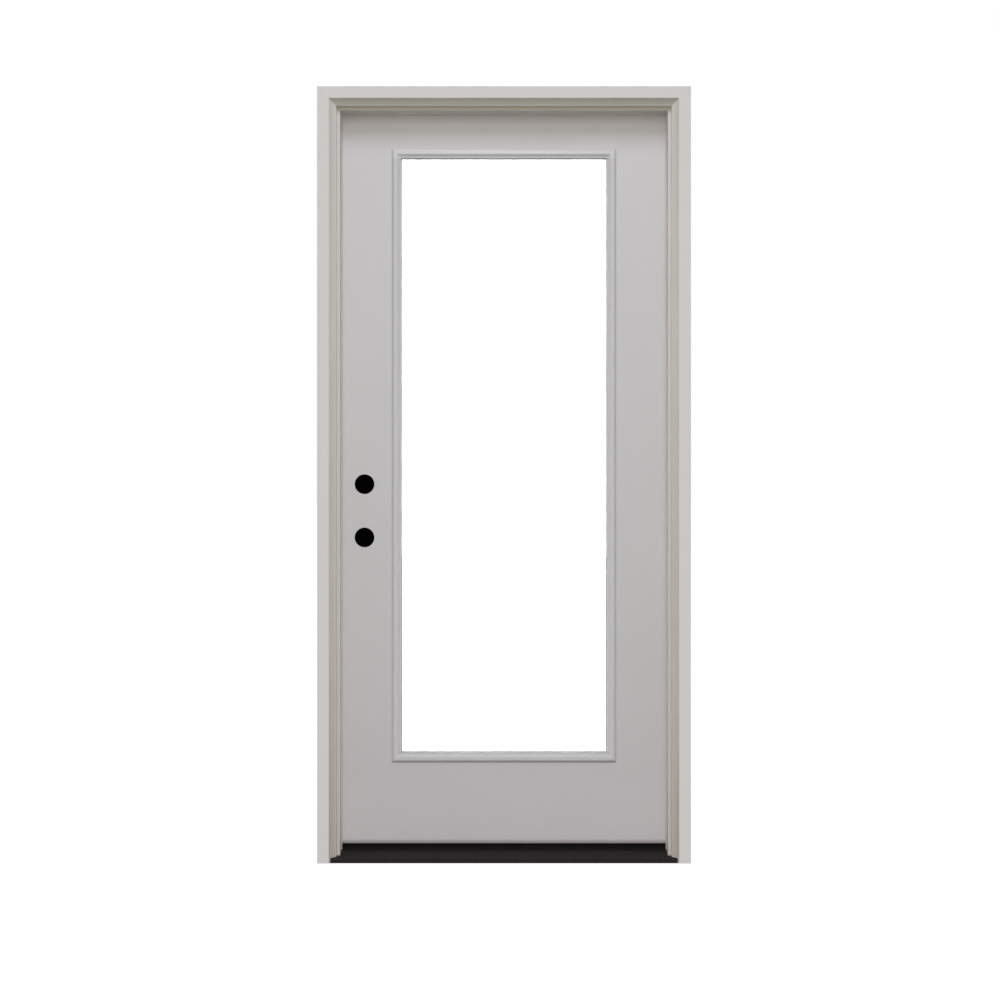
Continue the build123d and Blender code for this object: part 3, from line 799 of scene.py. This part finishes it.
def makeBorePlugs():
    plug = addCylinder("borePlugMaster", borePlug, turn=(pi / 2, 0, 0))
    editFaces(plug, lambda face: abs(face.normal.y) > squareOn)
    bpy.ops.mesh.inset(thickness=borePlug["rim"], use_individual=True)
    bpy.ops.mesh.inset(thickness=borePlug["rim"], depth=-borePlug["dish"], use_individual=True)
    closeEdit()
    roundEdges(plug, borePlug["round"])
    x = slabLow.x + borePlug["fromEdge"]
    plugs = joinAs("lock_bore_foam_plugs", [
        copyTo(plug, (x, slabMidY - borePlug["forward"], slabLow.z + up)) for up in borePlug["aboveFoot"]])
    deletePiece(plug)
    finishPiece(plugs, "door", borePlugFoam)


makeBorePlugs()
print("bore plugs placed")


# floor, world, lamps and camera
def seenDirectly(tree):
    # 1 for rays that see the place itself: camera, mirror and through-glass rays
    path = tree.nodes.new("ShaderNodeLightPath")
    some = mathNode(tree, "MAXIMUM", path.outputs["Is Camera Ray"], path.outputs["Is Glossy Ray"])
    return mathNode(tree, "MAXIMUM", some, path.outputs["Is Transmission Ray"])


floorLook = {"size": 160, "bounce": 0.35, "shadowShare": 0.32, "glow": 0.80,
             "clearFrom": 1.0, "clearTo": 3.0}      # past clearTo the floor is plain white


def makeFloor():
    deselectAll()
    bpy.ops.mesh.primitive_plane_add(size=floorLook["size"], location=(0, 0, 0))
    floor = nameNew("studioFloor")
    material, tree, shader, place = newMaterial("paleFloor")
    tree.nodes.remove(shader)
    bounce = tree.nodes.new("ShaderNodeBsdfDiffuse")
    bounce.inputs["Color"].default_value = (*even(floorLook["bounce"]), 1)
    shade = tree.nodes.new("ShaderNodeBsdfDiffuse")
    shade.inputs["Color"].default_value = (*even(floorLook["shadowShare"]), 1)
    distance = tree.nodes.new("ShaderNodeVectorMath")
    distance.operation = "LENGTH"
    tree.links.new(place, distance.inputs[0])
    glowing = spread(tree, distance.outputs["Value"], floorLook["clearFrom"], floorLook["clearTo"],
                     floorLook["glow"], 1.0)
    glow = tree.nodes.new("ShaderNodeEmission")
    tree.links.new(glowing, glow.inputs["Strength"])
    both = tree.nodes.new("ShaderNodeAddShader")
    tree.links.new(shade.outputs[0], both.inputs[0])
    tree.links.new(glow.outputs[0], both.inputs[1])
    surface = mixShaders(tree, seenDirectly(tree), bounce.outputs[0], both.outputs[0])
    tree.links.new(surface, tree.nodes["Material Output"].inputs["Surface"])
    floor.data.materials.append(material)


worldLook = {"light": 0.22, "seen": 1.0}


def makeWorld():
    world = bpy.data.worlds.new("studioWorld")
    scene.world = world
    world.use_nodes = True
    tree = world.node_tree
    lighting = tree.nodes["Background"]
    white = tree.nodes.new("ShaderNodeBackground")
    for background, strength in ((lighting, worldLook["light"]), (white, worldLook["seen"])):
        background.inputs["Color"].default_value = (1, 1, 1, 1)
        background.inputs["Strength"].default_value = strength
    surface = mixShaders(tree, seenDirectly(tree), lighting.outputs[0], white.outputs[0])
    tree.links.new(surface, tree.nodes["World Output"].inputs["Surface"])


lampAim = Vector((0, 0, 1.0))
lamps = {
    # these two are far off, so the front is lit evenly, and narrow, so the jambs shade little of the slab
    "softKey": {"place": (0, -23.5, 24.0), "wide": 4.0, "tall": 12.0, "power": 5180},
    "wideFront": {"place": (0, -20.0, 5.5), "wide": 4.0, "tall": 11.0, "power": 1270},
    # these two light the inside and the edges from behind, and leave the front alone
    "rearLeft": {"place": (-15.0, 13.0, 6.0), "wide": 6.0, "tall": 8.0, "power": 2050},
    "rearRight": {"place": (15.0, 13.0, 6.0), "wide": 6.0, "tall": 8.0, "power": 1750},
}


def makeLamp(name, look):
    deselectAll()
    bpy.ops.object.light_add(type="AREA", location=look["place"])
    lamp = bpy.context.object
    lamp.name = name
    lamp.data.shape = "RECTANGLE"
    lamp.data.size = look["wide"]
    lamp.data.size_y = look["tall"]
    lamp.data.energy = look["power"]
    lamp.rotation_euler = (lampAim - lamp.location).to_track_quat("-Z", "Y").to_euler()


photoCamera = {"lens": 90, "sensor": 36, "place": (0, -6.839, 1.049), "shiftX": -0.004, "shiftY": -0.025}


def makeCamera():
    deselectAll()
    bpy.ops.object.camera_add(location=photoCamera["place"], rotation=(pi / 2, 0, 0))
    camera = bpy.context.object
    camera.name = "photoCamera"
    camera.data.lens = photoCamera["lens"]
    camera.data.sensor_width = photoCamera["sensor"]
    camera.data.shift_x = photoCamera["shiftX"]
    camera.data.shift_y = photoCamera["shiftY"]
    camera.data.clip_end = 100
    scene.camera = camera


makeFloor()
makeWorld()
for name, look in lamps.items():
    makeLamp(name, look)
makeCamera()
scene.view_settings.view_transform = "Standard"
print("studio ready")
